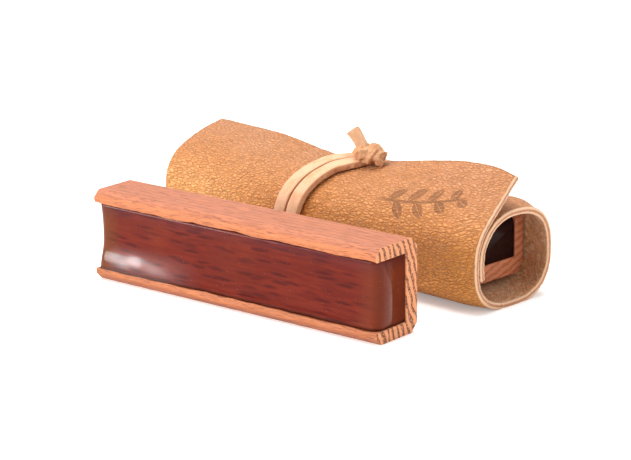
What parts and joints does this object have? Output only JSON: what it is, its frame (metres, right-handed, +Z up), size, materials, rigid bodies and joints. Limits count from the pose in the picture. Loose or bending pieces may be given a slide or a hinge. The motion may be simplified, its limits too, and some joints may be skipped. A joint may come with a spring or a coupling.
{
  "type": "leather rosin roll",
  "caption": "Leather roll case tied with a doubled lace, with a wooden-trough bar of violin-family rosin rolled up inside it and a matching bar standing in front.",
  "frame": {"origin": "on the floor under the middle of the whole set, the roll and the standing bar together", "axes": "+X along the roll towards the mouth where the flap flares most, +Y away from the standing bar, +Z up"},
  "size_m": [0.12, 0.0812, 0.041],
  "materials": {
    "leather": "vegetable-tanned, pebbled grain outside and suede inside",
    "lace": "pale undyed lace, finely pored",
    "holder_wood": "oiled reddish hardwood with ray figure",
    "rosin": "cast, glossy and translucent dark amber"
  },
  "bodies": {
    "roll": {"leather_wrap": "leather", "lace_back": "lace"},
    "flap": {"leather_flap": "leather", "lace_front": "lace", "lace_knot": "lace", "lace_tail": "lace"},
    "stored_bar": {"stored_holder": "holder_wood", "stored_rosin": "rosin"},
    "standing_bar": {"standing_holder": "holder_wood", "standing_rosin": "rosin"}
  },
  "joints": [
    {"name": "flap_open", "type": "hinge", "parent": "roll", "child": "flap", "pos_m": [0, 0.00178, 0.011], "axis": [1, 0, 0], "range_deg": [0, 75]},
    {"name": "stored_bar_slide", "type": "slide", "parent": "roll", "child": "stored_bar", "axis": [-1, 0, 0], "range_m": [0, 0.114]},
    {"name": "standing_bar_lift", "type": "slide", "parent": "roll", "child": "standing_bar", "axis": [0, 0, 1], "range_m": [0, 0.05]}
  ]
}
